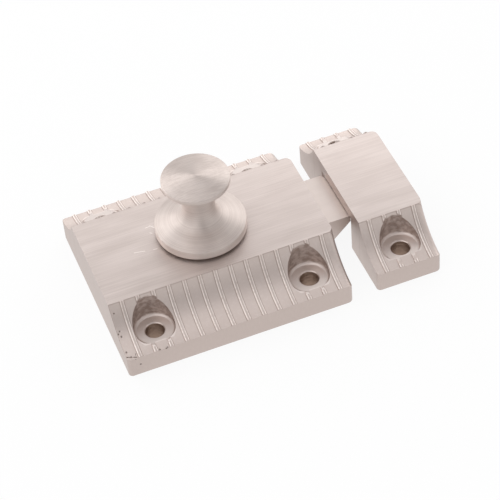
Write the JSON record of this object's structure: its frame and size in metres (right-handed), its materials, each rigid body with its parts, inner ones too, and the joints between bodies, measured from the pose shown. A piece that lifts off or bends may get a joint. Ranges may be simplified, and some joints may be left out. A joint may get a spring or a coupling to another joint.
{
  "type": "cabinet latch",
  "caption": "Surface-mounted cabinet latch: ribbed case with a mushroom turn knob, a sprung bevelled bolt and a matching strike that lies beside it.",
  "frame": {"origin": "on the mounting plane below the knob's axis, which is the middle of the case's screw pattern", "axes": "+X along the bolt towards the strike, +Z out of the door, +Y across the bolt"},
  "size_m": [0.0803, 0.051, 0.0316],
  "materials": {
    "satin_nickel": "satin nickel plate, brushed along the bolt on the flat tops, cast in the coves",
    "satin_nickel_bolt": "satin nickel plate, ground",
    "satin_nickel_knob": "satin nickel plate over a turned blank",
    "bright_steel": "bright zinc-plated steel",
    "plated_sheet": "zinc-plated sheet steel",
    "spring_steel": "drawn spring wire"
  },
  "bodies": {
    "housing": {"case": "satin_nickel", "back_plate": "plated_sheet", "back_plate_screws": "bright_steel", "strike": "satin_nickel", "bolt_spring": "spring_steel"},
    "knob": {"knob": "satin_nickel_knob", "spindle": "bright_steel", "spindle_washer": "bright_steel", "crank": "bright_steel", "crank_pin": "bright_steel", "crank_screw": "bright_steel"},
    "bolt": {"bolt": "satin_nickel_bolt"}
  },
  "joints": [
    {"name": "knob_turn", "type": "hinge", "parent": "housing", "child": "knob", "pos_m": [0, 0, 0.0144], "axis": [0, 0, -1], "range_deg": [0, 80]},
    {"name": "bolt_slide", "type": "slide", "parent": "housing", "child": "bolt", "axis": [-1, 0, 0], "range_m": [0, 0.007], "stiffness_N_per_m": 300, "springref_m": -0.006, "deforming": ["bolt_spring"]}
  ],
  "couplings": [
    {"joint": "knob_turn", "follows": "bolt_slide", "rad_per_m": 199.47}
  ]
}
